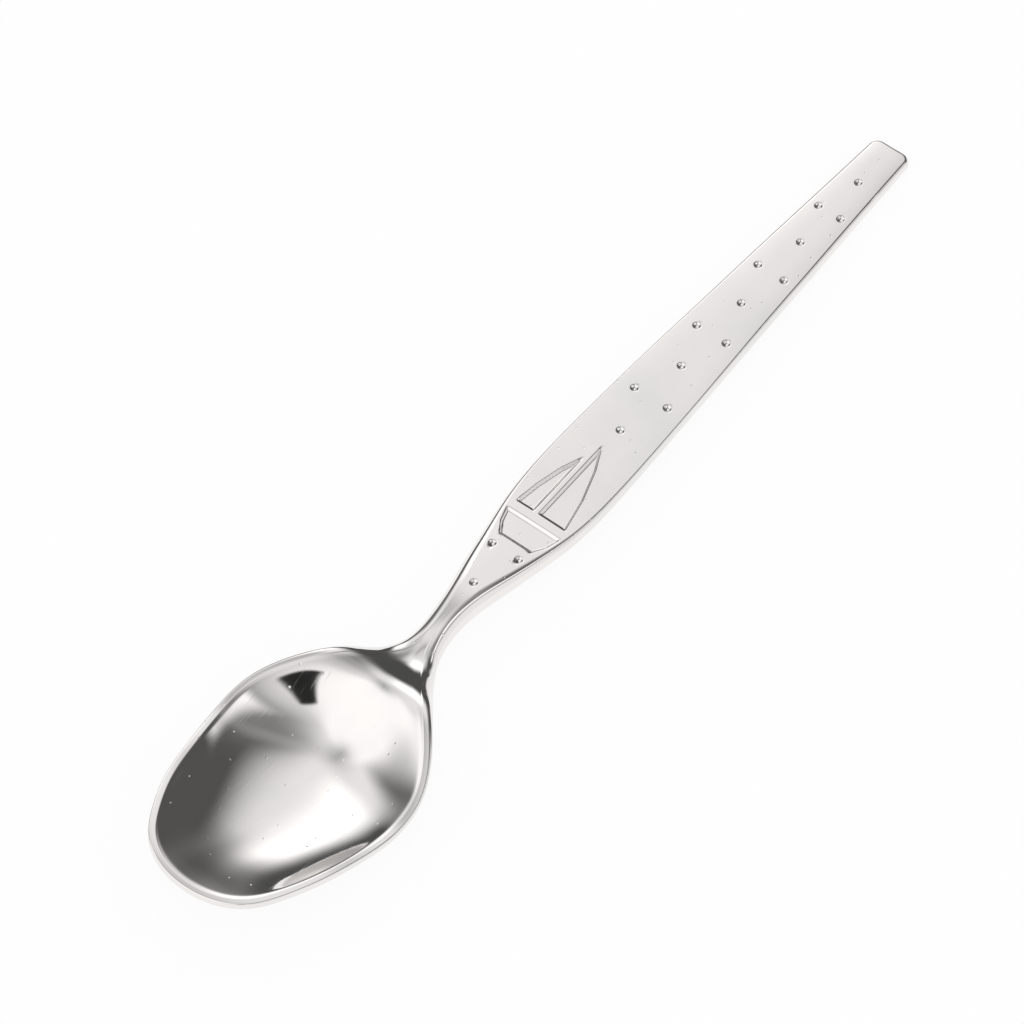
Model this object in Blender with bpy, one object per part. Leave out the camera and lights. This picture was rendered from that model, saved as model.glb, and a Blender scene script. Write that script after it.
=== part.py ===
"""Child spoon, forged and polished from one piece of stainless steel.

The spoon lies along X with its bowl open upwards: the bowl's tip is at -X and
the handle's end at +X. It stands on z = 0 on the bottom of the bowl and on
the end of the handle. The origin is under the middle of its length.
"""

import math

import bmesh
import bpy
import numpy as np
from mathutils import Matrix, Vector

# Driving dimensions, in metres
BOWL_LENGTH = 0.0515  # bowl tip to the narrowest place of the neck
BOWL_WIDTH = 0.0294  # over the rim, at the widest place of the bowl
BOWL_DROP = 0.0031  # lowest place of the dish below the side of the rim
BOWL_DEPTH = 0.0038  # dish below the rim beside it, where it is deepest
HANDLE_LENGTH = 0.0985  # narrowest place of the neck to the handle's end
HANDLE_WIDTH = 0.0120  # at the widest place of the handle
NECK_WIDTH = 0.0043
END_WIDTH = 0.0062

# Rim
RIM_LAND = 0.0010  # flat top of the rim, all round the dish
RIM_EDGE = 0.0006  # upright side of the rim
RIM_BULGE = 0.00012  # side of the rim out past its land
TIP_RISE = 0.00322  # bowl tip above the side of the rim
SHOULDER_RISE = 0.00220  # rim before the neck above the side of the rim
RIDGE_RISE = 0.00198  # ridge between the bowl and the neck, above the side of the rim
NAPE_RISE = 0.00010  # hollow between the ridge and the neck, above the side of the rim
NOSE_FLAT = 0.0020  # short straight piece at the very tip
NOSE_LENGTH = 0.0030  # end of the bowl's tip, where the sections stand closer together

# Wall thickness
BOWL_THICKNESS = 0.0014  # floor of the bowl
NECK_THICKNESS = 0.0036
GRIP_THICKNESS = 0.0021  # where the handle is widest
REAR_THICKNESS = 0.0019
END_THICKNESS = 0.0016

# Neck and handle
NECK_RISE = 0.00096  # top of the neck above the side of the rim
NECK_EDGE = 0.0017  # top of the neck down to its widest place
NECK_BULGE = 0.00105  # side of the neck out past its top face, each side
HANDLE_BULGE = 0.00035  # side of the handle out past its top face, each side
HANDLE_BOW = 0.00055  # handle's top above the straight line from neck to end
HANDLE_CROWN = 0.00012  # middle of the handle's face above its edges
END_ROUND = 0.0011  # length over which the handle's end is rounded

# Flats where the spoon rests on the table
REST_CUT = 0.00025  # taken off the bottom of the bowl
END_REST_CUT = 0.00004  # taken off under the handle's end

# Sunk sailing boat on the handle
BOAT_LENGTH = 0.0190  # keel to mast top, along the handle
BOAT_WIDTH = 0.0084  # across the handle
BOAT_START = 0.0150  # keel, from the narrowest place of the neck
BOAT_DEPTH = 0.00030
BOAT_SLOPE = 0.00022  # width of the sloping wall round the sunk shapes

# Sunk dots on the handle
DOT_DIAMETER = 0.0011
DOT_DEPTH = 0.00025
DOT_PITCH = 0.0066  # between rows of dots along the handle
DOT_GAP = 0.0034  # boat to the first row behind it, and last row to the end
DOT_KEEL_GAP = 0.0019  # boat to the pair of dots before it

CUTTER_OVERRUN = 0.0010  # cutters stand out of the steel by this much

# Outline of the bowl: share of its length, share of half its width
BOWL_OUTLINE_SHARES = (
    (0.023, 0.369), (0.068, 0.576), (0.136, 0.723), (0.233, 0.856), (0.350, 0.947), (0.480, 1.000),
    (0.583, 0.950), (0.680, 0.766), (0.757, 0.562), (0.835, 0.357), (0.913, 0.192),
)
# Outline of the handle: share of its length, share of the way from the neck's
# width to the widest, and then of the way from the end's width to the widest
GRIP_OUTLINE_SHARES = ((0.046, 0.130), (0.096, 0.400), (0.147, 0.648), (0.208, 0.910), (0.290, 1.0))
REAR_OUTLINE_SHARES = ((0.411, 0.886), (0.513, 0.750), (0.635, 0.553), (0.756, 0.383), (0.878, 0.180))

# Dish along its middle: share of its length, share of the bowl's depth
DISH_SHARES = (
    (0.054, 0.268), (0.130, 0.576), (0.239, 0.792), (0.370, 0.729), (0.500, 0.774),
    (0.620, 0.997), (0.725, 0.687), (0.810, 0.245), (0.900, 0.103),
)
DISH_END_SHARE = 0.93  # where the dish runs out, as a share of the bowl's length
# How much fuller than a parabola the bowl's sections are: share of its length,
# share of a fourth power in place of the square
FULLNESS_SHARES = (
    (0, 0), (0.155, 0.12), (0.311, 0.27), (0.466, 0.13), (0.621, -0.43), (0.777, -0.32), (0.971, -0.24),
)

# Underside of the bowl along its middle: share of the bowl's length, share of
# the way up from the lowest place to the tip, and then to the neck
TIP_UNDERSIDE_SHARES = (
    (0.023, 0.895), (0.068, 0.759), (0.136, 0.558), (0.233, 0.336), (0.350, 0.163), (0.440, 0.055),
)
LOWEST_SHARE = 0.524
NECK_UNDERSIDE_SHARES = ((0.583, 0.085), (0.680, 1.030), (0.757, 1.620), (0.850, 1.100))

# Rim between the tip and its lowest place: share of the bowl's length, share
# of the tip's rise
RIM_SHARES = ((0.155, 0.904), (0.252, 0.637), (0.368, 0.194))

# Places of the other sections
RIM_SIDE_SHARE = 0.480  # of the bowl's length
SHOULDER_SHARE = 0.700  # of the bowl's length
RIDGE_SHARE = 0.780  # of the bowl's length
NAPE_SHARE = 0.865  # of the bowl's length
GRIP_SHARE = 0.290  # of the handle's length
REAR_SHARE = 0.670  # of the handle's length
FOREGRIP_BOW_SHARE = 0.30  # of the bow, half way to the grip
GRIP_BOW_SHARE = 0.30  # of the bow, at the grip
SHOULDER_BULGE_SHARE = 0.20  # of the way from the rim's bulge to the neck's
FOREGRIP_SHARE = 0.50  # of the way along to the grip, where the neck's shape fades

# At the very tip and the very end, where the spoon is narrower than its edges
LEAST_TOP_SHARE = 0.50  # of the half width, kept by the top face
LEAST_DISH_SHARE = 0.20  # of the top face, kept by the dish
LEAST_INSIDE_SHARE = 0.50  # of the handle's top face, kept inside its edge strips
LEAST_BELLY_SHARE = 0.30  # of the rim's side, kept below it

# Boat: share of its width across the handle, share of its length along it
HULL_SHARES = ((-0.50, 0.21), (-0.44, 0.10), (-0.31, 0.0), (0.29, 0.0), (0.42, 0.09), (0.50, 0.21))
MAIN_SAIL_SHARES = ((-0.46, 0.29), (0.04, 0.29), (0.04, 1.0), (-0.16, 0.81), (-0.34, 0.56))
JIB_SHARES = ((0.14, 0.29), (0.46, 0.29), (0.40, 0.48), (0.29, 0.68), (0.14, 0.85))
DOT_SIDE_SHARE = 0.48  # of the handle's half width, for the outer dots

# Polished stainless steel
STEEL_COLOUR = (0.62, 0.60, 0.59)
STEEL_ROUGHNESS = 0.12
CREASE_ANGLE = math.radians(35)  # edges sharper than this stay crisp

# How finely the steel is divided
NOSE_STEPS = 3
DISH_NOSE_STEPS = 4
BOWL_STEPS = 27
HANDLE_STEPS = 36
END_STEPS = 6
TOP_STEPS = 16
SIDE_STEPS = 3
UNDERSIDE_STEPS = 14
DOT_SIDES = 10
OUTLINE_STEPS = 400  # points at which the rim's inner edge is worked out
SQUARENESS = 6  # power that makes the handle's underside flatter than a circle

BOWL_HALF = BOWL_WIDTH / 2
NECK_HALF = NECK_WIDTH / 2
HANDLE_HALF = HANDLE_WIDTH / 2
END_HALF = END_WIDTH / 2
LENGTH = BOWL_LENGTH + HANDLE_LENGTH
DISH_LENGTH = BOWL_LENGTH * DISH_END_SHARE - RIM_LAND
RIM_HEIGHT = BOWL_DROP + BOWL_THICKNESS - REST_CUT
TIP_HEIGHT = RIM_HEIGHT + TIP_RISE
NECK_HEIGHT = RIM_HEIGHT + NECK_RISE
END_HEIGHT = END_THICKNESS - END_REST_CUT


class Curve:
    """Smooth line through a few points, free at its ends, or level at 0 if it is even."""

    def __init__(self, points, even=False):
        if even:
            points = [(-x, y) for x, y in reversed(points[1:])] + points
        self.x = np.array([point[0] for point in points])
        self.y = np.array([point[1] for point in points])
        step = np.diff(self.x)
        slope = np.diff(self.y) / step
        system = np.eye(len(points))
        change = np.zeros(len(points))
        for i in range(1, len(points) - 1):
            system[i, i - 1:i + 2] = (step[i - 1], 2 * (step[i - 1] + step[i]), step[i])
            change[i] = 6 * (slope[i] - slope[i - 1])
        self.bend = np.linalg.solve(system, change)

    def __call__(self, x):
        i = min(max(int(np.searchsorted(self.x, x)) - 1, 0), len(self.x) - 2)
        step = self.x[i + 1] - self.x[i]
        a = (self.x[i + 1] - x) / step
        b = (x - self.x[i]) / step
        lift = (a ** 3 - a) * self.bend[i] + (b ** 3 - b) * self.bend[i + 1]
        return float(a * self.y[i] + b * self.y[i + 1] + lift * step * step / 6)


def mix(start, end, share):
    return start + (end - start) * share


def in_bowl(share):
    """Place along every curve, drawn out near the tip, where the outline is blunt."""
    return math.sqrt(share)


def in_handle(share):
    """Place along every curve, at the same rate as the bowl has at the neck."""
    return 1 + share * HANDLE_LENGTH / (2 * BOWL_LENGTH)


def place(s):
    """Place along the curves at a distance from the bowl's tip."""
    if s < BOWL_LENGTH:
        return in_bowl(s / BOWL_LENGTH)
    return in_handle((s - BOWL_LENGTH) / HANDLE_LENGTH)


def height_on_line(share):
    """Straight line from the neck's top to the handle's end."""
    return mix(NECK_HEIGHT, END_HEIGHT, share)


NECK = in_bowl(1)
GRIP = in_handle(GRIP_SHARE)
REAR = in_handle(REAR_SHARE)
END = in_handle(1)
FOREGRIP = in_handle(GRIP_SHARE * FOREGRIP_SHARE)
RIM_SIDE = in_bowl(RIM_SIDE_SHARE)
SHOULDER = in_bowl(SHOULDER_SHARE)

OUTLINE = Curve(
    [(0, 0)]
    + [(in_bowl(share), BOWL_HALF * width) for share, width in BOWL_OUTLINE_SHARES]
    + [(NECK, NECK_HALF)]
    + [(in_handle(share), mix(NECK_HALF, HANDLE_HALF, width)) for share, width in GRIP_OUTLINE_SHARES]
    + [(in_handle(share), mix(END_HALF, HANDLE_HALF, width)) for share, width in REAR_OUTLINE_SHARES]
    + [(END, END_HALF)]
)
TOP_LINE = Curve(
    [(0, TIP_HEIGHT)]
    + [(in_bowl(share), RIM_HEIGHT + TIP_RISE * rise) for share, rise in RIM_SHARES]
    + [
        (RIM_SIDE, RIM_HEIGHT),
        (SHOULDER, RIM_HEIGHT + SHOULDER_RISE),
        (in_bowl(RIDGE_SHARE), RIM_HEIGHT + RIDGE_RISE),
        (in_bowl(NAPE_SHARE), RIM_HEIGHT + NAPE_RISE),
        (NECK, NECK_HEIGHT),
        (FOREGRIP, height_on_line(GRIP_SHARE * FOREGRIP_SHARE) + HANDLE_BOW * FOREGRIP_BOW_SHARE),
        (GRIP, height_on_line(GRIP_SHARE) + HANDLE_BOW * GRIP_BOW_SHARE),
        (REAR, height_on_line(REAR_SHARE) + HANDLE_BOW),
        (END, END_HEIGHT),
    ],
    even=True,
)
DISH = Curve(
    [(0, 0)] + [(in_bowl(share), BOWL_DEPTH * depth) for share, depth in DISH_SHARES] + [(NECK, 0)],
    even=True,
)
FULLNESS = Curve(FULLNESS_SHARES)
NECK_UNDERSIDE = NECK_HEIGHT - NECK_THICKNESS
UNDERSIDE = Curve(
    [(0, TIP_HEIGHT - RIM_EDGE)]
    + [(in_bowl(share), mix(-REST_CUT, TIP_HEIGHT - RIM_EDGE, up)) for share, up in TIP_UNDERSIDE_SHARES]
    + [(in_bowl(LOWEST_SHARE), -REST_CUT)]
    + [(in_bowl(share), mix(-REST_CUT, NECK_UNDERSIDE, up)) for share, up in NECK_UNDERSIDE_SHARES]
    + [
        (NECK, NECK_UNDERSIDE),
        (FOREGRIP, TOP_LINE(FOREGRIP) - mix(NECK_THICKNESS, GRIP_THICKNESS, FOREGRIP_SHARE)),
        (GRIP, TOP_LINE(GRIP) - GRIP_THICKNESS),
        (REAR, TOP_LINE(REAR) - REAR_THICKNESS),
        (END, -END_REST_CUT),
    ],
    even=True,
)
EDGE = Curve([
    (0, RIM_EDGE),
    (RIM_SIDE, RIM_EDGE),
    (SHOULDER, RIM_EDGE),
    (NECK, NECK_EDGE),
    (FOREGRIP, mix(NECK_EDGE, GRIP_THICKNESS / 2, FOREGRIP_SHARE)),
    (GRIP, GRIP_THICKNESS / 2),
    (REAR, REAR_THICKNESS / 2),
    (END, END_THICKNESS / 2),
])
BULGE = Curve([
    (0, RIM_BULGE),
    (RIM_SIDE, RIM_BULGE),
    (SHOULDER, mix(RIM_BULGE, NECK_BULGE, SHOULDER_BULGE_SHARE)),
    (NECK, NECK_BULGE),
    (FOREGRIP, mix(NECK_BULGE, HANDLE_BULGE, FOREGRIP_SHARE)),
    (GRIP, HANDLE_BULGE),
    (REAR, HANDLE_BULGE),
    (END, HANDLE_BULGE),
])


def ease(value, start, end):
    """0 before the start, 1 after the end and a smooth rise between them."""
    share = min(max((value - start) / (end - start), 0.0), 1.0)
    return share * share * (3 - 2 * share)


def half_width(s):
    """Half of the spoon's width at a distance from the bowl's tip."""
    half = OUTLINE(place(s))
    past = s - (LENGTH - END_ROUND)
    if past > 0:
        half -= END_ROUND * (1 - math.sqrt(max(1 - (past / END_ROUND) ** 2, 0)))
    return max(half, NOSE_FLAT / 2)


def inset_line():
    """Inner edge of the rim's land: the outline moved in by the bulge and the land."""
    shares = np.linspace(0, 1, OUTLINE_STEPS)[1:]
    s = BOWL_LENGTH * shares ** 2
    half = np.array([OUTLINE(share) for share in shares])
    ds = np.gradient(s)
    dh = np.gradient(half)
    inset = np.array([BULGE(share) for share in shares]) + RIM_LAND
    tangent = np.hypot(ds, dh)
    return s + inset * dh / tangent, half - inset * ds / tangent


INSET_PLACE, INSET_HALF = inset_line()


def top_half(s):
    """Half width of the top face, inside the bulging sides."""
    half = half_width(s)
    return half - min(BULGE(place(s)), half * LEAST_TOP_SHARE)


def dish_half(s):
    """Half width of the dish, inside the rim's land."""
    least = top_half(s) * LEAST_DISH_SHARE
    if s <= RIM_LAND:
        return least
    if s >= BOWL_LENGTH:
        return top_half(s) - min(RIM_LAND, top_half(s) * LEAST_INSIDE_SHARE)
    return max(float(np.interp(s, INSET_PLACE, INSET_HALF)), least)


def dish_depth(s):
    share = (s - RIM_LAND) / DISH_LENGTH
    if share <= 0 or share >= 1:
        return 0
    return max(DISH(in_bowl(share)), 0)


def bowl_section(s, share):
    """0 in the middle of the bowl and 1 at its rim, nearly a parabola."""
    fullness = FULLNESS(min(s / BOWL_LENGTH, FULLNESS_SHARES[-1][0]))
    return mix(share ** 2, share ** 4, fullness)


def top_height(s, across):
    """Height of the top face at a distance from the tip and from the middle."""
    height = TOP_LINE(place(s))
    inside = abs(across) / dish_half(s)
    if inside < 1:
        height -= dish_depth(s) * (1 - bowl_section(s, inside))
    crown = HANDLE_CROWN * ease(place(s), NECK, GRIP)
    return height + crown * (1 - (across / top_half(s)) ** 2)


def section(s):
    """Closed ring of points round the spoon at a distance from the bowl's tip."""
    at = place(s)
    half = half_width(s)
    top = top_half(s)
    dish = dish_half(s)
    top_edge = TOP_LINE(at)
    side_height = top_edge - EDGE(at)
    belly = max(side_height - UNDERSIDE(at), RIM_EDGE * LEAST_BELLY_SHARE)
    roundness = 1 + ease(at, SHOULDER, NECK)
    flatness = ease(at, NECK, GRIP)

    middle = [dish * (2 * i / TOP_STEPS - 1) for i in range(TOP_STEPS + 1)]
    face = [(y, top_height(s, y)) for y in middle]
    side = []
    for i in range(SIDE_STEPS):
        down = i / SIDE_STEPS
        side.append((mix(top, half, 1 - (1 - down) ** 2), mix(top_edge, side_height, down)))
    under = []
    for i in range(UNDERSIDE_STEPS + 1):
        angle = math.pi * i / UNDERSIDE_STEPS
        out = math.cos(angle)
        fall = mix(bowl_section(s, abs(out)), abs(out) ** SQUARENESS, flatness)
        under.append((half * out, side_height - belly * max(1 - fall, 0) ** (1 / roundness)))
    other_side = [(-y, z) for y, z in reversed(side)]
    return face + side + under + other_side


def stations():
    """Distances from the tip at which the spoon's sections stand."""
    nose = [RIM_LAND * (i / NOSE_STEPS) ** 2 for i in range(NOSE_STEPS)]
    dish_nose = [
        mix(RIM_LAND, NOSE_LENGTH, (i / DISH_NOSE_STEPS) ** 2) for i in range(DISH_NOSE_STEPS)
    ]
    bowl = [mix(NOSE_LENGTH, BOWL_LENGTH, i / BOWL_STEPS) for i in range(BOWL_STEPS)]
    handle_end = LENGTH - END_ROUND
    handle = [mix(BOWL_LENGTH, handle_end, i / HANDLE_STEPS) for i in range(HANDLE_STEPS)]
    end = [
        handle_end + END_ROUND * math.sin(math.pi / 2 * i / END_STEPS)
        for i in range(END_STEPS + 1)
    ]
    return nose + dish_nose + bowl + handle + end


def add_ring(bm, points):
    """Joins points into a closed ring of edges."""
    verts = [bm.verts.new(point) for point in points]
    return [bm.edges.new((verts[i - 1], verts[i])) for i in range(len(verts))]


def cut_flat(bm):
    """Cuts the steel level at z = 0 and closes the cuts with flat faces."""
    parts = bm.verts[:] + bm.edges[:] + bm.faces[:]
    cut = bmesh.ops.bisect_plane(
        bm, geom=parts, plane_co=(0, 0, 0), plane_no=(0, 0, 1), clear_inner=True
    )
    edges = [item for item in cut["geom_cut"] if isinstance(item, bmesh.types.BMEdge)]
    bmesh.ops.edgeloop_fill(bm, edges=edges)


def make_steel():
    """Stainless steel, polished bright all over."""
    steel = bpy.data.materials.new("polished_stainless_steel")
    steel.use_nodes = True
    shader = steel.node_tree.nodes["Principled BSDF"]
    shader.inputs["Base Color"].default_value = (*STEEL_COLOUR, 1)
    shader.inputs["Roughness"].default_value = STEEL_ROUGHNESS
    shader.inputs["Metallic"].default_value = 1
    return steel


def add_object(name, bm):
    """Turns a bmesh into an object in the scene."""
    mesh = bpy.data.meshes.new(name)
    bm.to_mesh(mesh)
    bm.free()
    body = bpy.data.objects.new(name, mesh)
    bpy.context.scene.collection.objects.link(body)
    return body


def make_spoon():
    """The forged blank: sections bridged from the bowl's tip to the handle's end."""
    bm = bmesh.new()
    rings = []
    for s in stations():
        rings.append(add_ring(bm, [(s - LENGTH / 2, y, z) for y, z in section(s)]))
    for ring, following in zip(rings, rings[1:]):
        bmesh.ops.bridge_loops(bm, edges=ring + following)
    bmesh.ops.edgeloop_fill(bm, edges=rings[0])
    bmesh.ops.edgeloop_fill(bm, edges=rings[-1])
    cut_flat(bm)
    bmesh.ops.recalc_face_normals(bm, faces=bm.faces)
    spoon = add_object("spoon", bm)
    spoon.data.shade_smooth()
    spoon.data.set_sharp_from_angle(angle=CREASE_ANGLE)
    spoon.data.materials.append(make_steel())
    return spoon


def lay_on_face(s, across):
    """Placement of a cutter on the handle's face, with its Z out of the steel."""
    step = DOT_DIAMETER
    start = Vector((s - step - LENGTH / 2, across, top_height(s - step, across)))
    end = Vector((s + step - LENGTH / 2, across, top_height(s + step, across)))
    along = (end - start).normalized()
    up = along.cross(Vector((0, 1, 0)))
    turn = Matrix((along, (0, 1, 0), up)).transposed().to_4x4()
    return Matrix.Translation((s - LENGTH / 2, across, top_height(s, across))) @ turn


def add_sunk_shape(bm, shares):
    """Cutter for one sunk shape: straight above the face, sloping in below it."""
    corners = []
    for across, along in shares:
        corners.append(bm.verts.new((BOAT_LENGTH * (along - 0.5), BOAT_WIDTH * across, 0)))
    face = bm.faces.new(corners)
    face.normal_update()
    if face.normal.z > 0:
        face.normal_flip()
    raised = bmesh.ops.extrude_edge_only(bm, edges=face.edges)
    lid_verts = [item for item in raised["geom"] if isinstance(item, bmesh.types.BMVert)]
    lid_edges = [
        item for item in raised["geom"]
        if isinstance(item, bmesh.types.BMEdge) and all(vert in lid_verts for vert in item.verts)
    ]
    bmesh.ops.translate(bm, verts=lid_verts, vec=(0, 0, CUTTER_OVERRUN))
    bmesh.ops.edgeloop_fill(bm, edges=lid_edges)
    bmesh.ops.inset_region(
        bm, faces=[face], use_even_offset=True, thickness=BOAT_SLOPE, depth=BOAT_DEPTH
    )


def make_boat_cutter():
    """Hull and two sails, laid along the handle's face with the mast top towards its end."""
    bm = bmesh.new()
    for shares in (HULL_SHARES, MAIN_SAIL_SHARES, JIB_SHARES):
        add_sunk_shape(bm, shares)
    placement = lay_on_face(BOWL_LENGTH + BOAT_START + BOAT_LENGTH / 2, 0)
    bmesh.ops.transform(bm, matrix=placement, verts=bm.verts)
    bmesh.ops.recalc_face_normals(bm, faces=bm.faces)
    return add_object("boat_cutter", bm)


def dot_places():
    """Distance from the tip and place across the handle of each dot."""
    keel = BOWL_LENGTH + BOAT_START
    mast_top = keel + BOAT_LENGTH
    dots = [(keel - DOT_KEEL_GAP - DOT_PITCH, 0)]
    dots += [(keel - DOT_KEEL_GAP, side * DOT_SIDE_SHARE) for side in (-1, 1)]
    first = mast_top + DOT_GAP
    last = LENGTH - END_ROUND - DOT_GAP
    rows = int((last - first) / DOT_PITCH) + 1
    for row in range(rows):
        s = first + DOT_PITCH * row
        if row % 2:
            dots += [(s, side * DOT_SIDE_SHARE) for side in (-1, 1)]
        else:
            dots.append((s, 0))
    return [(s, half_width(s) * across) for s, across in dots]


def make_dot_cutter():
    """Round punches that sink a shallow cap into the handle's face."""
    bm = bmesh.new()
    radius = ((DOT_DIAMETER / 2) ** 2 + DOT_DEPTH ** 2) / (2 * DOT_DEPTH)
    lift = Matrix.Translation((0, 0, radius - DOT_DEPTH))
    for s, across in dot_places():
        placement = lay_on_face(s, across) @ lift
        bmesh.ops.create_uvsphere(
            bm, u_segments=DOT_SIDES, v_segments=DOT_SIDES, radius=radius, matrix=placement
        )
    return add_object("dot_cutter", bm)


def cut_with(body, cutter):
    """Takes a cutter out of a body, and leaves the cutter as a guide that isn't rendered."""
    cutter.hide_render = True
    cutter.display_type = "WIRE"
    cut = body.modifiers.new(cutter.name, "BOOLEAN")
    cut.operation = "DIFFERENCE"
    cut.object = cutter


def build():
    for item in list(bpy.data.objects):
        bpy.data.objects.remove(item, do_unlink=True)
    spoon = make_spoon()
    cut_with(spoon, make_boat_cutter())
    cut_with(spoon, make_dot_cutter())


build()
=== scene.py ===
"""Child spoon in bright polished stainless steel, on a white studio table.

Everything is in metres, in the part's own frame: the bowl's tip is at -X, the
handle's end at +X, and the spoon stands on z = 0.
"""

import math

import bpy
import numpy as np
from mathutils import Euler, Matrix, Vector


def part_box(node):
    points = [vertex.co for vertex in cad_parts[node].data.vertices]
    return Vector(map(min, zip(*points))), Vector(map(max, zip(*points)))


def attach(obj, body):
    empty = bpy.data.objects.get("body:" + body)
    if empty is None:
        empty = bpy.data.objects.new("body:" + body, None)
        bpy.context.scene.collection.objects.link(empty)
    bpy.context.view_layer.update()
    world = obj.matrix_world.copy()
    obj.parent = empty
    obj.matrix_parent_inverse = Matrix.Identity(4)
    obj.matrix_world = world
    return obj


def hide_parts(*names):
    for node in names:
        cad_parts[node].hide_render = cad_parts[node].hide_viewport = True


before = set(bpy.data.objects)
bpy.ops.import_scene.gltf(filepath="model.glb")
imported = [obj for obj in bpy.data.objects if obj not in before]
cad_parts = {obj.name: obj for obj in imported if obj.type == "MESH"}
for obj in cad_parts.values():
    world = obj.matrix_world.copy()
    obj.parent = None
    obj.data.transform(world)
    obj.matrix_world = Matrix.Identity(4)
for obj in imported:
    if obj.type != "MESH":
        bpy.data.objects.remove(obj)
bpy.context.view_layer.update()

# The forged blank.
# One strip of stainless steel, cut, rolled thin at the bowl and the end, and
# pressed in a die. Its edges are rounded by belt and mop until none is sharp.

blank_low, blank_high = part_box("spoon")
SPOON_LENGTH = blank_high.x - blank_low.x
TIP_X = blank_low.x
BOWL_LENGTH = 0.0515  # tip to the narrowest place of the neck
BOWL_HALF = 0.01469
BOWL_DROP = 0.0031
BOWL_DEPTH = 0.0038
HANDLE_LENGTH = SPOON_LENGTH - BOWL_LENGTH
HANDLE_HALF = 0.0060
NECK_HALF = 0.00215
END_HALF = 0.0031

RIM_LAND = 0.0010  # bright flat line round the dish
RIM_EDGE = 0.0006  # top of the rim down to its widest line
RIM_BULGE = 0.00012  # how far the widest line stands out past the top face
RIM_UNDERCUT = 0.00012  # rounding under the rim's widest line
UNDERCUT_WIDTH = 0.00008
UNDERCUT_FADE = 0.0030

# Rise of the top line over the rim's lowest place
TIP_RISE = 0.00322
SHOULDER_RISE = 0.00220
RIDGE_RISE = 0.00206
NAPE_RISE = -0.00014

BOWL_THICKNESS = 0.0014
NECK_THICKNESS = 0.0036
GRIP_THICKNESS = 0.0021
REAR_THICKNESS = 0.0019
END_THICKNESS = 0.0016
REST_CUT = 0.00025  # taken off the belly for the small flat that it rests on
END_REST_CUT = 0.00004

NECK_RISE = 0.00096
NECK_EDGE = 0.0017
NECK_BULGE = 0.00105
HANDLE_BULGE = 0.00035
HANDLE_BOW = 0.00055
HANDLE_CROWN = 0.00012
END_ROUND = 0.0015

# What the mop takes off each corner
RIM_CORNER = 0.00009
NECK_CORNER = 0.00015
HANDLE_CORNER = 0.00007
DISH_CORNER = 0.00005
LAND_SLOPE = 0.8  # fall of the dish's surface where it is carried on past its edge
LEAST_HALF = 0.000001  # keeps a share of the half width finite at the tip

# Each curve's points: a place as a share of the bowl or the handle, then a
# share of what the curve gives there
BOWL_OUTLINE_SHARES = (
    (0.023, 0.369), (0.068, 0.576), (0.136, 0.723), (0.233, 0.856), (0.350, 0.947),
    (0.480, 1.000), (0.583, 0.950), (0.680, 0.766), (0.757, 0.562), (0.835, 0.357),
    (0.913, 0.192),
)
GRIP_OUTLINE_SHARES = (
    (0.046, 0.130), (0.096, 0.400), (0.147, 0.648), (0.208, 0.910), (0.290, 1.0),
)
REAR_OUTLINE_SHARES = (
    (0.411, 0.886), (0.513, 0.750), (0.635, 0.553), (0.756, 0.383), (0.878, 0.180),
)
DISH_SHARES = (
    (0.054, 0.268), (0.130, 0.576), (0.239, 0.792), (0.370, 0.729), (0.500, 0.774),
    (0.620, 0.997), (0.725, 0.687), (0.810, 0.245), (0.900, 0.103),
)
DISH_END_SHARE = 0.93
FULLNESS_SHARES = (
    (0, 0), (0.155, 0.12), (0.311, 0.27), (0.466, 0.13), (0.621, -0.43), (0.777, -0.32),
    (0.971, -0.24),
)
TIP_UNDERSIDE_SHARES = (
    (0.023, 0.895), (0.068, 0.759), (0.136, 0.558), (0.233, 0.336), (0.350, 0.163),
    (0.440, 0.055),
)
LOWEST_SHARE = 0.524
NECK_UNDERSIDE_SHARES = ((0.583, 0.085), (0.680, 1.030), (0.757, 1.620), (0.850, 1.100))
RIM_SHARES = ((0.155, 0.904), (0.252, 0.637), (0.368, 0.194))
RIM_SIDE_SHARE = 0.480
SHOULDER_SHARE = 0.700
RIDGE_SHARE = 0.780
NAPE_SHARE = 0.865
GRIP_SHARE = 0.290
REAR_SHARE = 0.670
FOREGRIP_BOW_SHARE = 0.30
GRIP_BOW_SHARE = 0.30
SHOULDER_BULGE_SHARE = 0.20
FOREGRIP_SHARE = 0.50
SQUARENESS = 6  # power that makes the handle's underside flatter than a circle

RIM_HEIGHT = BOWL_DROP + BOWL_THICKNESS - REST_CUT
TIP_HEIGHT = RIM_HEIGHT + TIP_RISE
NECK_HEIGHT = RIM_HEIGHT + NECK_RISE
END_HEIGHT = END_THICKNESS - END_REST_CUT
NECK_UNDERSIDE = NECK_HEIGHT - NECK_THICKNESS


class Curve:
    """Smooth line through a few points, level at a start of 0 if it is even."""

    def __init__(self, points, even=False):
        if even:
            points = [(-x, y) for x, y in reversed(points[1:])] + list(points)
        self.x = np.array([point[0] for point in points], float)
        self.y = np.array([point[1] for point in points], float)
        step = np.diff(self.x)
        slope = np.diff(self.y) / step
        system = np.eye(len(points))
        change = np.zeros(len(points))
        for i in range(1, len(points) - 1):
            system[i, i - 1:i + 2] = (step[i - 1], 2 * (step[i - 1] + step[i]), step[i])
            change[i] = 6 * (slope[i] - slope[i - 1])
        self.bend = np.linalg.solve(system, change)

    def __call__(self, x):
        i = np.clip(np.searchsorted(self.x, x) - 1, 0, len(self.x) - 2)
        step = self.x[i + 1] - self.x[i]
        a = (self.x[i + 1] - x) / step
        b = (x - self.x[i]) / step
        lift = (a ** 3 - a) * self.bend[i] + (b ** 3 - b) * self.bend[i + 1]
        return a * self.y[i] + b * self.y[i + 1] + lift * step * step / 6


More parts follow.
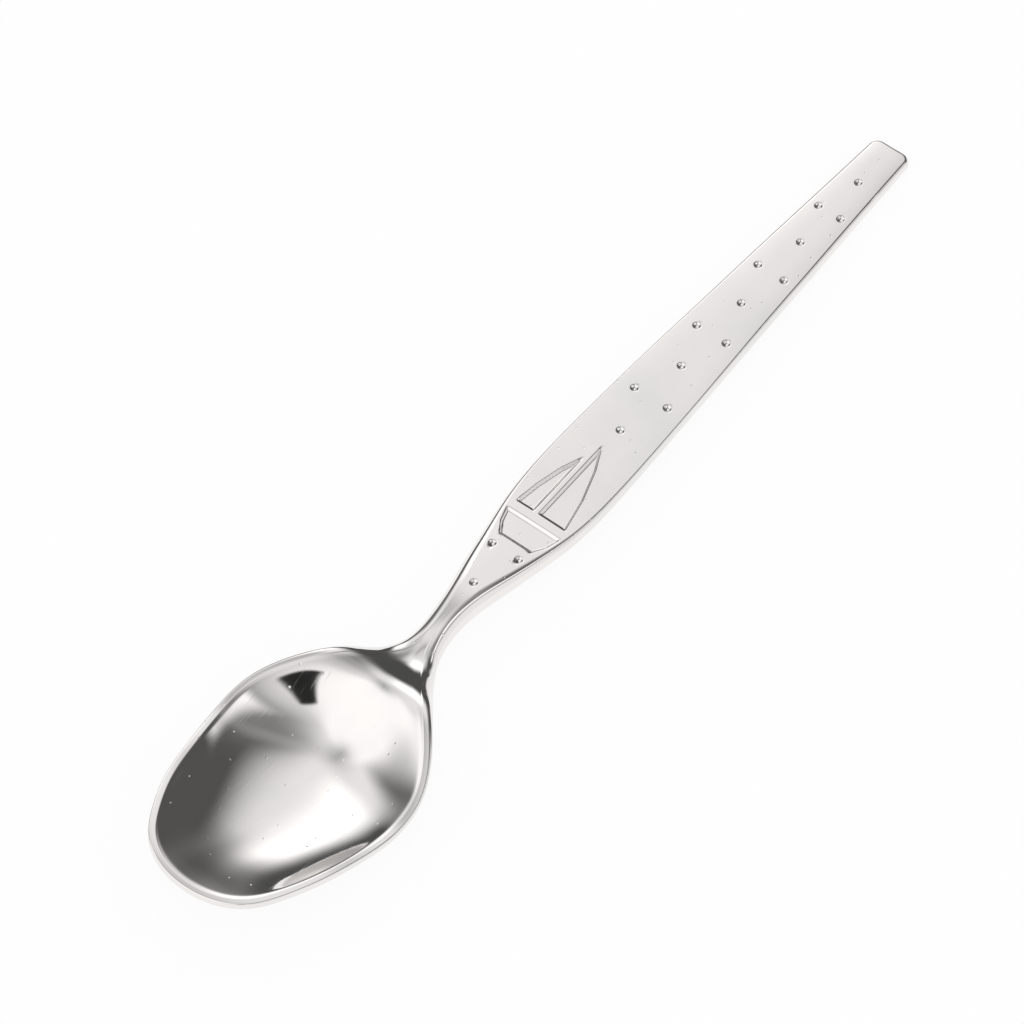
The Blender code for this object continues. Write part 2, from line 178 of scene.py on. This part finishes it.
def mix(start, end, share):
    return start + (end - start) * share


def ease(value, start, end):
    """0 before the start, 1 after the end and a smooth rise between them."""
    share = np.clip((value - start) / (end - start), 0, 1)
    return share * share * (3 - 2 * share)


def lower_of(a, b, corner):
    """The lower of two heights, with what is given taken off the corner between them."""
    near = np.maximum(1 - np.abs(a - b) / (4 * corner), 0)
    return np.minimum(a, b) - corner * near ** 2


def in_bowl(share):
    """Place along every curve, drawn out near the tip, where the outline is blunt."""
    return np.sqrt(share)


def in_handle(share):
    return 1 + share * HANDLE_LENGTH / (2 * BOWL_LENGTH)


def place(s):
    """Place along the curves at a distance from the bowl's tip."""
    bowl = in_bowl(np.clip(s, 0, BOWL_LENGTH) / BOWL_LENGTH)
    return np.where(s < BOWL_LENGTH, bowl, in_handle((s - BOWL_LENGTH) / HANDLE_LENGTH))


def height_on_line(share):
    return mix(NECK_HEIGHT, END_HEIGHT, share)


NECK = in_bowl(1)
GRIP = in_handle(GRIP_SHARE)
REAR = in_handle(REAR_SHARE)
END = in_handle(1)
FOREGRIP = in_handle(GRIP_SHARE * FOREGRIP_SHARE)
RIM_SIDE = in_bowl(RIM_SIDE_SHARE)
SHOULDER = in_bowl(SHOULDER_SHARE)

OUTLINE = Curve(
    [(0, 0)]
    + [(in_bowl(share), BOWL_HALF * width) for share, width in BOWL_OUTLINE_SHARES]
    + [(NECK, NECK_HALF)]
    + [
        (in_handle(share), mix(NECK_HALF, HANDLE_HALF, width))
        for share, width in GRIP_OUTLINE_SHARES
    ]
    + [
        (in_handle(share), mix(END_HALF, HANDLE_HALF, width))
        for share, width in REAR_OUTLINE_SHARES
    ]
    + [(END, END_HALF)]
)
TOP_LINE = Curve(
    [(0, TIP_HEIGHT)]
    + [(in_bowl(share), RIM_HEIGHT + TIP_RISE * rise) for share, rise in RIM_SHARES]
    + [
        (RIM_SIDE, RIM_HEIGHT),
        (SHOULDER, RIM_HEIGHT + SHOULDER_RISE),
        (in_bowl(RIDGE_SHARE), RIM_HEIGHT + RIDGE_RISE),
        (in_bowl(NAPE_SHARE), RIM_HEIGHT + NAPE_RISE),
        (NECK, NECK_HEIGHT),
        (FOREGRIP, height_on_line(GRIP_SHARE * FOREGRIP_SHARE) + HANDLE_BOW * FOREGRIP_BOW_SHARE),
        (GRIP, height_on_line(GRIP_SHARE) + HANDLE_BOW * GRIP_BOW_SHARE),
        (REAR, height_on_line(REAR_SHARE) + HANDLE_BOW),
        (END, END_HEIGHT),
    ],
    even=True,
)
DISH = Curve(
    [(0, 0)] + [(in_bowl(share), BOWL_DEPTH * depth) for share, depth in DISH_SHARES] + [(NECK, 0)],
    even=True,
)
FULLNESS = Curve(FULLNESS_SHARES)
UNDERSIDE = Curve(
    [(0, TIP_HEIGHT - RIM_EDGE)]
    + [
        (in_bowl(share), mix(-REST_CUT, TIP_HEIGHT - RIM_EDGE, up))
        for share, up in TIP_UNDERSIDE_SHARES
    ]
    + [(in_bowl(LOWEST_SHARE), -REST_CUT)]
    + [
        (in_bowl(share), mix(-REST_CUT, NECK_UNDERSIDE, up))
        for share, up in NECK_UNDERSIDE_SHARES
    ]
    + [
        (NECK, NECK_UNDERSIDE),
        (FOREGRIP, TOP_LINE(FOREGRIP) - mix(NECK_THICKNESS, GRIP_THICKNESS, FOREGRIP_SHARE)),
        (GRIP, TOP_LINE(GRIP) - GRIP_THICKNESS),
        (REAR, TOP_LINE(REAR) - REAR_THICKNESS),
        (END, -END_REST_CUT),
    ],
    even=True,
)
EDGE = Curve([
    (0, RIM_EDGE),
    (RIM_SIDE, RIM_EDGE),
    (SHOULDER, RIM_EDGE),
    (NECK, NECK_EDGE),
    (FOREGRIP, mix(NECK_EDGE, GRIP_THICKNESS / 2, FOREGRIP_SHARE)),
    (GRIP, GRIP_THICKNESS / 2),
    (REAR, REAR_THICKNESS / 2),
    (END, END_THICKNESS / 2),
])
BULGE = Curve([
    (0, RIM_BULGE),
    (RIM_SIDE, RIM_BULGE),
    (SHOULDER, mix(RIM_BULGE, NECK_BULGE, SHOULDER_BULGE_SHARE)),
    (NECK, NECK_BULGE),
    (FOREGRIP, mix(NECK_BULGE, HANDLE_BULGE, FOREGRIP_SHARE)),
    (GRIP, HANDLE_BULGE),
    (REAR, HANDLE_BULGE),
    (END, HANDLE_BULGE),
])

# The outline as a fine path from the middle of the tip to the middle of the end
PATH_POINTS = 6000
path_place = np.linspace(0, 1, PATH_POINTS)
path_s = np.concatenate((
    BOWL_LENGTH * path_place ** 2,
    mix(BOWL_LENGTH, SPOON_LENGTH - END_ROUND, path_place[1:]),
    SPOON_LENGTH - END_ROUND + END_ROUND * np.sin(math.pi / 2 * path_place[1:]),
    np.full(PATH_POINTS - 1, SPOON_LENGTH),
))
path_half = OUTLINE(place(path_s))
corner = np.clip((path_s - (SPOON_LENGTH - END_ROUND)) / END_ROUND, 0, 1)
path_half -= END_ROUND * (1 - np.sqrt(1 - corner ** 2))
path_half[-PATH_POINTS:] *= 1 - path_place
path_step = np.hypot(np.diff(path_s), np.diff(path_half))
path_run = np.concatenate(((0,), np.cumsum(path_step)))
SIDE_POINTS = 2 * PATH_POINTS - 1  # those before the end's corner


def on_path(run):
    """Distance from the tip and from the middle at a run along the outline."""
    return np.interp(run, path_run, path_s), np.interp(run, path_run, path_half)


def inward(run):
    """Direction into the steel, square to the outline."""
    reach = 0.00005
    s0, y0 = on_path(run - reach)
    s1, y1 = on_path(run + reach)
    y0 = np.where(run < reach, -on_path(reach - run)[1], y0)
    y1 = np.where(run > path_run[-1] - reach, -on_path(2 * path_run[-1] - run - reach)[1], y1)
    along = np.hypot(s1 - s0, y1 - y0)
    return (y1 - y0) / along, -(s1 - s0) / along


land_run = np.linspace(0, np.interp(1, path_place, path_run[:PATH_POINTS]), PATH_POINTS)
land_s, land_half = on_path(land_run)
land_in = BULGE(place(land_s)) + RIM_LAND
into_s, into_y = inward(land_run)
INSET_S = land_s + land_in * into_s
INSET_HALF = land_half + land_in * into_y
DISH_START = RIM_LAND + RIM_BULGE
DISH_LENGTH = BOWL_LENGTH * DISH_END_SHARE - DISH_START


def bowl_section(s, share):
    """0 in the middle of the bowl and 1 at its rim, nearly a parabola."""
    fullness = FULLNESS(np.minimum(s / BOWL_LENGTH, FULLNESS_SHARES[-1][0]))
    return mix(share ** 2, share ** 4, fullness)


def dish_fall(s, across, inside):
    """How far the dish lies below the rim; inside is the distance from the rim's inner edge."""
    share = (s - DISH_START) / DISH_LENGTH
    step = 0.001
    start_slope = DISH(in_bowl(step)) / step
    end_slope = (DISH(in_bowl(1)) - DISH(in_bowl(1 - step))) / step
    depth = DISH(in_bowl(np.clip(share, 0, 1)))
    depth = depth + start_slope * np.minimum(share, 0) + end_slope * np.maximum(share - 1, 0)
    half = np.maximum(np.interp(s, INSET_S, INSET_HALF), LEAST_HALF)
    within = np.minimum(np.abs(across) / half, 1)
    fall = np.where(depth > 0, depth * (1 - bowl_section(s, within)), depth)
    past = np.minimum(LAND_SLOPE * inside, np.minimum(depth, 0))
    fall = np.where(inside < 0, past, fall)
    return -lower_of(-fall, 0, DISH_CORNER)


def corner_at(at):
    """What is taken off the corner between the top face and the sides."""
    bowl = mix(RIM_CORNER, NECK_CORNER, ease(at, SHOULDER, NECK))
    return mix(bowl, HANDLE_CORNER, ease(at, NECK, GRIP))


def top_surface(s, across, inside):
    """Height of the upper side; inside is the distance from the outline."""
    at = place(s)
    face = TOP_LINE(at) - dish_fall(s, across, inside - BULGE(at) - RIM_LAND)
    top_half = np.maximum(OUTLINE(at) - BULGE(at), BULGE(at))
    face += HANDLE_CROWN * ease(at, NECK, GRIP) * (1 - (across / top_half) ** 2)
    widest = TOP_LINE(at) - EDGE(at)
    side = widest + EDGE(at) * np.sqrt(inside / BULGE(at))
    return np.where(inside > 0, lower_of(face, side, corner_at(at)), widest)


def under_surface(s, across, inside):
    """Height of the lower side, flat where the spoon rests."""
    at = place(s)
    widest = TOP_LINE(at) - EDGE(at)
    belly = np.maximum(widest - UNDERSIDE(at), 0)
    roundness = 1 + ease(at, SHOULDER, NECK)
    flatness = ease(at, NECK, GRIP)
    out = np.clip(np.abs(across) / np.maximum(OUTLINE(at), LEAST_HALF), 0, 1)
    fall = mix(bowl_section(s, out), out ** SQUARENESS, flatness)
    height = widest - belly * (1 - fall) ** (1 / roundness)
    undercut = RIM_UNDERCUT * (1 - ease(at, SHOULDER, NECK))
    undercut *= 1 - np.exp(-np.sqrt(inside / UNDERCUT_WIDTH))
    undercut *= np.exp(-inside / UNDERCUT_FADE)
    return np.where(inside > 0, np.maximum(height - undercut, 0), widest)


# The sunk design on the handle.
# A small sailing boat and rows of round dots, struck into the face by a
# punch before the last polish, so their walls slope and their edges are soft.

BOAT_LENGTH = 0.0190
BOAT_WIDTH = 0.0084
BOAT_START = 0.0150
BOAT_DEPTH = 0.00030
BOAT_WALL = 0.00045  # width of the sloping wall, a quarter of it outside the shape

# Corners of the three shapes, as shares of the boat's width and length
HULL_SHARES = (
    (-0.50, 0.21), (-0.44, 0.10), (-0.31, 0.0), (0.29, 0.0), (0.42, 0.09), (0.50, 0.21),
)
MAIN_SAIL_SHARES = ((-0.46, 0.29), (0.04, 0.29), (0.04, 1.0), (-0.16, 0.81), (-0.34, 0.56))
JIB_SHARES = ((0.14, 0.29), (0.46, 0.29), (0.40, 0.48), (0.29, 0.68), (0.14, 0.85))

DOT_RADIUS = 0.00055
DOT_DEPTH = 0.00025
DOT_LIP = 0.00002  # taken off its edge
DOT_PITCH = 0.0066
DOT_GAP = 0.0034  # from the mast's top and from the handle's end
DOT_KEEL_GAP = 0.0019
DOT_SIDE_SHARE = 0.48  # place of a pair, as a share of the handle's half width

keel = BOWL_LENGTH + BOAT_START
mast_top = keel + BOAT_LENGTH
first_row = mast_top + DOT_GAP
last_row = SPOON_LENGTH - END_ROUND - DOT_GAP
dot_rows = [(keel - DOT_KEEL_GAP - DOT_PITCH, 1), (keel - DOT_KEEL_GAP, 2)]
dot_rows += [
    (first_row + DOT_PITCH * row, 1 + row % 2)
    for row in range(int((last_row - first_row) / DOT_PITCH) + 1)
]


def depth_inside(s, across, shares):
    """Distance inside a sunk shape's edge, below 0 outside it."""
    corners = [(keel + BOAT_LENGTH * along, BOAT_WIDTH * side) for side, along in shares]
    nearest = np.full(s.shape, np.inf)
    crossings = np.zeros(s.shape, int)
    for (s0, y0), (s1, y1) in zip(corners, corners[1:] + corners[:1]):
        ds = s1 - s0
        dy = y1 - y0
        along = np.clip(((s - s0) * ds + (across - y0) * dy) / (ds * ds + dy * dy), 0, 1)
        nearest = np.minimum(nearest, np.hypot(s - s0 - along * ds, across - y0 - along * dy))
        spans = (y0 > across) != (y1 > across)
        meets = s0 + (across - y0) / (dy if dy else 1) * ds
        crossings += spans & (s < meets)
    return np.where(crossings % 2 == 1, nearest, -nearest)


def sunk(s, across):
    """How far the punched design lies below the handle's face."""
    depth = np.zeros(s.shape)
    for shares in (HULL_SHARES, MAIN_SAIL_SHARES, JIB_SHARES):
        within = depth_inside(s, across, shares)
        depth += BOAT_DEPTH * ease(within, -BOAT_WALL / 4, BOAT_WALL * 3 / 4)
    for row, dots in dot_rows:
        side = np.interp(row, path_s[:SIDE_POINTS], path_half[:SIDE_POINTS]) * DOT_SIDE_SHARE
        for middle in ((0,) if dots == 1 else (-side, side)):
            out = np.hypot(s - row, across - middle) / DOT_RADIUS
            depth -= lower_of(DOT_DEPTH * (out ** 2 - 1), 0, DOT_LIP)
    return depth


# The polished spoon.
# One solid piece of stainless steel, struck and then polished all over. It is
# laid out as a fine net: each row runs from the outline square into the steel
# and then to the middle line, so that the mirror of the dish stays smooth.

# Distances between rows
BOWL_ROW = 0.00042
TIP_ROW = 0.00030
NECK_ROW = 0.00045
HANDLE_ROW = 0.00055
BOAT_ROW = 0.00015
DOT_ROW = 0.00013
END_ROW = 0.00018
FINE_REACH = 1.3  # of a dot's radius or the end's corner, where the rows are close

# Where the rows meet the middle line: those round the tip and the end fan out
TIP_FAN = 0.0070
TIP_FAN_SLOPE = 0.35
FAN_REACH = 0.0250
END_FAN = 0.0050
END_FAN_SLOPE = 0.8
END_FAN_LAST = 0.0010
END_FAN_LAST_SLOPE = 0.15


def row_size(run):
    """Distance between rows at a run along the outline."""
    s, half = on_path(run)
    size = np.where(s < BOWL_LENGTH, BOWL_ROW, HANDLE_ROW)
    size = np.where(s < DISH_START, TIP_ROW, size)
    size = np.where((s > BOWL_LENGTH * SHOULDER_SHARE) & (s < keel), NECK_ROW, size)
    size = np.where((s > keel - BOAT_WALL) & (s < mast_top + BOAT_WALL), BOAT_ROW, size)
    for row, dots in dot_rows:
        size = np.where(np.abs(s - row) < DOT_RADIUS * FINE_REACH, DOT_ROW, size)
    return np.where(s > SPOON_LENGTH - END_ROUND * FINE_REACH, END_ROW, size)


runs = np.linspace(0, path_run[-1], PATH_POINTS * 4)
rows_before = np.concatenate(((0,), np.cumsum(np.diff(runs) / row_size(runs[1:]))))
ROWS = int(rows_before[-1])
row_run = np.interp(np.linspace(0, rows_before[-1], ROWS + 1), rows_before, runs)
row_s, row_half = on_path(row_run)
row_into_s, row_into_y = inward(row_run)


def hermite(x, x0, y0, slope0, x1, y1, slope1):
    """Smooth line between two points with the slopes given there."""
    t = np.clip((x - x0) / (x1 - x0), 0, 1)
    width = x1 - x0
    return (
        y0 * (2 * t ** 3 - 3 * t ** 2 + 1) + slope0 * width * (t ** 3 - 2 * t ** 2 + t)
        + y1 * (3 * t ** 2 - 2 * t ** 3) + slope1 * width * (t ** 3 - t ** 2)
    )


fan_run, end_run = np.interp(
    (FAN_REACH, SPOON_LENGTH - END_FAN), path_s[:SIDE_POINTS], path_run[:SIDE_POINTS]
)
middle_s = row_s.copy()
tip_rows = row_run < fan_run
middle_s[tip_rows] = hermite(
    row_run, 0, TIP_FAN, TIP_FAN_SLOPE, fan_run, FAN_REACH, 1
)[tip_rows]
end_rows = row_run > end_run
middle_s[end_rows] = hermite(
    row_run, end_run, SPOON_LENGTH - END_FAN, END_FAN_SLOPE,
    path_run[-1], SPOON_LENGTH - END_FAN_LAST, END_FAN_LAST_SLOPE,
)[end_rows]

SIDE_SHARES = (0, 0.04, 0.14, 0.30, 0.50, 0.75, 1.0, 1.3, 1.7)  # of the bulge
LAND_SHARES = (
    0.18, 0.36, 0.54, 0.70, 0.80, 0.88, 0.94, 1.0, 1.06, 1.12, 1.20, 1.32, 1.50,
)  # of the rim's land
UNDER_SHARES = (0, 0.01, 0.04, 0.10, 0.20, 0.35, 0.60, 1.0)  # of the underside's square part
SQUARE_SHARE = 0.75  # most of a row that can stand square to the outline
LEAST_SHARE = 0.02  # keeps the columns apart where the steel is narrow
MIDDLE_COLUMNS = 30
UNDER_COLUMNS = 20
END_BAND = 0.0009  # square part of the rows round the handle's end
UNDER_BAND = 0.0008
MERGE = 0.0000005  # joins the two sides along the outline and the middle

row_bulge = BULGE(place(row_s))
row_reach = np.hypot(middle_s - row_s, row_half)
near_end = ease(row_s, SPOON_LENGTH - END_FAN, SPOON_LENGTH - END_ROUND)
row_cap = mix(HANDLE_HALF, END_BAND, near_end)
row_cap[row_s < SPOON_LENGTH - END_FAN] = SPOON_LENGTH  # no cap before the end
square_part = np.minimum(row_reach * SQUARE_SHARE, row_cap)


def top_columns():
    """Distances from the outline of each row's square part, on the upper side."""
    side = row_bulge[:, None] * np.array(SIDE_SHARES)
    land = row_bulge[:, None] + RIM_LAND * np.array(LAND_SHARES)
    room = square_part[:, None]
    start = np.minimum(side[:, -1:], room * SQUARE_SHARE)
    side = side * start / side[:, -1:]
    shrink = np.clip((room - start) / (land[:, -1:] - start), LEAST_SHARE, 1)
    land = start + np.maximum(land - start, RIM_LAND * LEAST_SHARE) * shrink
    return np.concatenate((side, land), axis=1)


def lay_net(columns, middle_columns):
    """Places along, across and inside the outline, for the right half of the net."""
    s = row_s[:, None] + row_into_s[:, None] * columns
    across = row_half[:, None] + row_into_y[:, None] * columns
    share = np.linspace(0, 1, middle_columns + 1)[1:]
    gap = np.hypot(middle_s - s[:, -1], across[:, -1])[:, None]
    s = np.hstack((s, mix(s[:, -1:], middle_s[:, None], share)))
    across = np.hstack((across, mix(across[:, -1:], 0, share)))
    return s, across, np.hstack((columns, columns[:, -1:] + gap * share))


def form_sheet(name, net, surface):
    """A flat grid, pressed to a surface over the whole net."""
    s, across, inside = net
    s = np.hstack((s, s[:, -2::-1]))
    across = np.hstack((-across, across[:, -2::-1]))
    inside = np.hstack((inside, inside[:, -2::-1]))
    height = surface(s, across, inside)
    bpy.ops.object.select_all(action="DESELECT")
    bpy.ops.mesh.primitive_grid_add(
        x_subdivisions=s.shape[1] - 1, y_subdivisions=s.shape[0] - 1, size=SPOON_LENGTH
    )
    sheet = bpy.context.object
    sheet.name = name
    points = np.stack((TIP_X + s, across, height), axis=-1)
    sheet.data.vertices.foreach_set("co", points.reshape(-1).astype(np.float32))
    return sheet


def upper_side(s, across, inside):
    return top_surface(s, across, inside) - sunk(s, across)


upper = form_sheet("polished_spoon", lay_net(top_columns(), MIDDLE_COLUMNS), upper_side)
under_part = np.minimum(square_part, UNDER_BAND)[:, None] * np.array(UNDER_SHARES)
form_sheet("underside", lay_net(under_part, UNDER_COLUMNS), under_surface)
upper.select_set(True)
bpy.context.view_layer.objects.active = upper
bpy.ops.object.join()
spoon = bpy.context.object
bpy.ops.object.mode_set(mode="EDIT")
bpy.ops.mesh.select_all(action="SELECT")
bpy.ops.mesh.remove_doubles(threshold=MERGE)
bpy.ops.mesh.normals_make_consistent(inside=False)
bpy.ops.object.mode_set(mode="OBJECT")
bpy.ops.object.shade_smooth()
spoon.data.materials.clear()


def linear(code):
    """An sRGB hex colour as Blender's linear values."""
    values = [int(code[i:i + 2], 16) / 255 for i in (1, 3, 5)]
    return [v / 12.92 if v <= 0.04045 else ((v + 0.055) / 1.055) ** 2.4 for v in values] + [1]


def add_node(tree, kind, inputs=(), **settings):
    """Adds a node with its settings; each input is a value or another node's output."""
    node = tree.nodes.new(kind)
    for name, value in settings.items():
        setattr(node, name, value)
    for socket, value in inputs:
        if isinstance(value, bpy.types.NodeSocket):
            tree.links.new(value, node.inputs[socket])
        else:
            node.inputs[socket].default_value = value
    return node


# Stainless steel, stamped and then polished with finer and finer mops. It
# mirrors the room, a thin film dulls it in places, and only a few hair lines
# and pits break the mirror.
CLEAN_STEEL = "#F0EDEB"
SMEARED_STEEL = "#E9E7E6"  # thin film left by fingers and cloth
CLEAN_ROUGHNESS = 0.045
SMEARED_ROUGHNESS = 0.075
SMEAR_SIZE = 0.012
SMEAR_RANGE = (0.45, 0.75)  # of the noise, from clean steel to the full film
HAIR_WIDTH = 0.00022  # real hair lines are a tenth of this, too fine to show
HAIR_LENGTH = 0.0065
HAIR_DEPTH = 0.0000012
HAIR_TURN = math.radians(7)  # from the spoon's length
HAIR_RANGE = (0.66, 0.78)  # of the noise, from no line to a full one
PIT_PITCH = 0.0042
PIT_RADIUS = 0.00016
PIT_DEPTH = 0.00002
PITTED_SHARE = 0.6

steel = bpy.data.materials.new("polished_stainless_steel")
steel.use_nodes = True
tree = steel.node_tree
shader = tree.nodes["Principled BSDF"]
shader.inputs["Metallic"].default_value = 1
on_steel = add_node(tree, "ShaderNodeTexCoord").outputs["Object"]
smear = add_node(
    tree, "ShaderNodeTexNoise",
    (("Vector", on_steel), ("Scale", 1 / SMEAR_SIZE), ("Detail", 3)),
)
film = add_node(
    tree, "ShaderNodeMapRange",
    (("Value", smear.outputs["Fac"]), ("From Min", SMEAR_RANGE[0]), ("From Max", SMEAR_RANGE[1])),
).outputs["Result"]
tint = add_node(
    tree, "ShaderNodeMix",
    ((0, film), (6, linear(CLEAN_STEEL)), (7, linear(SMEARED_STEEL))),  # 6 and 7 are colours
    data_type="RGBA",
)
tree.links.new(tint.outputs[2], shader.inputs["Base Color"])
dulled = add_node(
    tree, "ShaderNodeMapRange",
    (("Value", film), ("To Min", CLEAN_ROUGHNESS), ("To Max", SMEARED_ROUGHNESS)),
)
tree.links.new(dulled.outputs["Result"], shader.inputs["Roughness"])
along_hair = add_node(
    tree, "ShaderNodeMapping",
    (("Vector", on_steel), ("Rotation", (0, 0, HAIR_TURN)),
     ("Scale", (1 / HAIR_LENGTH, 1 / HAIR_WIDTH, 1))),
)
hair = add_node(
    tree, "ShaderNodeTexNoise",
    (("Vector", along_hair.outputs["Vector"]), ("Scale", 1), ("Detail", 1)),
    noise_dimensions="2D",
)
scratch = add_node(
    tree, "ShaderNodeMapRange",
    (("Value", hair.outputs["Fac"]), ("From Min", HAIR_RANGE[0]), ("From Max", HAIR_RANGE[1]),
     ("To Max", -HAIR_DEPTH)),
)
cells = add_node(
    tree, "ShaderNodeTexVoronoi", (("Vector", on_steel), ("Scale", 1 / PIT_PITCH)),
    voronoi_dimensions="2D",
)
pit = add_node(
    tree, "ShaderNodeMapRange",
    (("Value", cells.outputs["Distance"]), ("From Max", PIT_RADIUS / PIT_PITCH),
     ("To Min", -PIT_DEPTH), ("To Max", 0)),
    interpolation_type="SMOOTHSTEP",
)
chosen = add_node(
    tree, "ShaderNodeMath", ((0, cells.outputs["Color"]), (1, PITTED_SHARE)),
    operation="LESS_THAN",
)
worn = add_node(
    tree, "ShaderNodeMath",
    ((0, pit.outputs["Result"]), (1, chosen.outputs["Value"]), (2, scratch.outputs["Result"])),
    operation="MULTIPLY_ADD",
)
wear = add_node(tree, "ShaderNodeBump", (("Height", worn.outputs["Value"]), ("Distance", 1)))
tree.links.new(wear.outputs["Normal"], shader.inputs["Normal"])
spoon.data.materials.append(steel)

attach(spoon, "root")
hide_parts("spoon")

# The table.
# Matt white card that runs out of sight. Most of its white is its own, so
# that it stays white to the eye and in the steel, and the rest takes shadow.

CARD_SIZE = 6
CARD_WHITE = "#F6F6F6"
CARD_GLOW = 0.90  # its own share of the white

bpy.ops.object.select_all(action="DESELECT")
bpy.ops.mesh.primitive_plane_add(size=CARD_SIZE)
table = bpy.context.object
table.name = "table_top"
card = bpy.data.materials.new("matt_white_card")
card.use_nodes = True
tree = card.node_tree
matt = tree.nodes["Principled BSDF"]
matt.inputs["Base Color"].default_value = linear(CARD_WHITE)
matt.inputs["Roughness"].default_value = 1
ray = add_node(tree, "ShaderNodeLightPath").outputs
seen = add_node(
    tree, "ShaderNodeMath", ((0, ray["Is Camera Ray"]), (1, ray["Is Glossy Ray"])), operation="ADD",
)
seen = add_node(
    tree, "ShaderNodeMath",
    ((0, seen.outputs["Value"]), (1, ray["Is Transmission Ray"])),
    operation="ADD", use_clamp=True,
)
own_white = add_node(
    tree, "ShaderNodeMath", ((0, seen.outputs["Value"]), (1, CARD_GLOW)), operation="MULTIPLY",
)
glow = add_node(tree, "ShaderNodeEmission", (("Color", (1, 1, 1, 1)), ("Strength", 1)))
surface = add_node(
    tree, "ShaderNodeMixShader",
    ((0, own_white.outputs["Value"]), (1, matt.outputs["BSDF"]), (2, glow.outputs["Emission"])),
)
tree.links.new(surface.outputs["Shader"], tree.nodes["Material Output"].inputs["Surface"])
table.data.materials.append(card)

# The light.
# Plain white from all round. What the polished steel mirrors is a pale tent
# with soft white windows, dark gaps between them and one small black screen.

TENT_WHITE = 0.90
# Each window, gap or screen lies over those before it: azimuth, elevation,
# roll, half width, half height and soft edge in degrees, then its brightness.
PANELS = (
    (38, 1, -6, 48, 27.6, 11.6, 0.08),
    (43, 29.5, 54, 13.6, 10.9, 8, 1.40),
    (151.5, 53, -10, 37.5, 22.9, 5.4, 1.14),
    (342, 40, 26, 22, 26.6, 11.9, 0.09),
    (288, 69, 107, 19, 24, 16, 0.23),
    (305.5, 56, -35.5, 27, 3.85, 5.8, 1.50),
    (217, 47.5, 12, 3.4, 10.6, 1.0, 0.02),
    (78, 65, 5.4, 14, 8.4, 12, 0.45),
    (90, 14.4, -53, 19, 17.4, 9.3, 0.16),
)

world = bpy.data.worlds.new("light_tent")
bpy.context.scene.world = world
world.use_nodes = True
tree = world.node_tree
outward = add_node(tree, "ShaderNodeTexCoord").outputs["Generated"]
light = (TENT_WHITE, TENT_WHITE, TENT_WHITE, 1)
for azimuth, elevation, roll, half_wide, half_high, soft, brightness in PANELS:
    turned = Euler([math.radians(angle) for angle in (roll, -elevation, azimuth)]).to_matrix()
    ahead = add_node(
        tree, "ShaderNodeVectorMath", ((0, outward), (1, turned.col[0])), operation="DOT_PRODUCT",
    )
    inside = add_node(
        tree, "ShaderNodeMath", ((0, ahead.outputs["Value"]), (1, 0)), operation="GREATER_THAN",
    ).outputs["Value"]
    for direction, half in ((turned.col[1], half_wide), (turned.col[2], half_high)):
        off = add_node(
            tree, "ShaderNodeVectorMath", ((0, outward), (1, direction)), operation="DOT_PRODUCT",
        )
        off = add_node(
            tree, "ShaderNodeMath", ((0, off.outputs["Value"]),), operation="ABSOLUTE",
        )
        edge = add_node(
            tree, "ShaderNodeMapRange",
            (("Value", off.outputs["Value"]), ("From Min", math.sin(math.radians(half - soft))),
             ("From Max", math.sin(math.radians(half + soft))), ("To Min", 1), ("To Max", 0)),
            interpolation_type="SMOOTHSTEP",
        )
        inside = add_node(
            tree, "ShaderNodeMath", ((0, inside), (1, edge.outputs["Result"])),
            operation="MULTIPLY",
        ).outputs["Value"]
    grey = (brightness, brightness, brightness, 1)
    light = add_node(
        tree, "ShaderNodeMix", ((0, inside), (6, light), (7, grey)), data_type="RGBA",
    ).outputs[2]
room = tree.nodes["Background"]
tree.links.new(light, room.inputs["Color"])
white = add_node(tree, "ShaderNodeBackground", (("Color", (1, 1, 1, 1)), ("Strength", 1)))
mirrored = add_node(tree, "ShaderNodeLightPath").outputs["Is Glossy Ray"]
around = add_node(
    tree, "ShaderNodeMixShader",
    ((0, mirrored), (1, white.outputs["Background"]), (2, room.outputs["Background"])),
)
tree.links.new(around.outputs["Shader"], tree.nodes["World Output"].inputs["Surface"])

# The camera.
# A long lens from the side of the bowl's tip, looking down.

CAMERA_DISTANCE = 0.800
CAMERA_ELEVATION = math.radians(55.7)
CAMERA_TURN = math.radians(53.75)
CAMERA_ROLL = math.radians(1.38)
CAMERA_AIM = Vector((-0.00238, 0.00502, 0))
CAMERA_LENS = 219.51
CAMERA_NEAR = 0.01

turn =Euler((math.pi / 2 - CAMERA_ELEVATION, 0, -CAMERA_TURN)).to_matrix()
turn = turn @ Matrix.Rotation(CAMERA_ROLL, 3, "Z")
bpy.ops.object.camera_add(
    location=CAMERA_AIM + CAMERA_DISTANCE * turn.col[2], rotation=turn.to_euler()
)
camera = bpy.context.object
camera.data.lens = CAMERA_LENS
camera.data.clip_start = CAMERA_NEAR
bpy.context.scene.camera = camera
bpy.context.scene.view_settings.view_transform = "Standard"
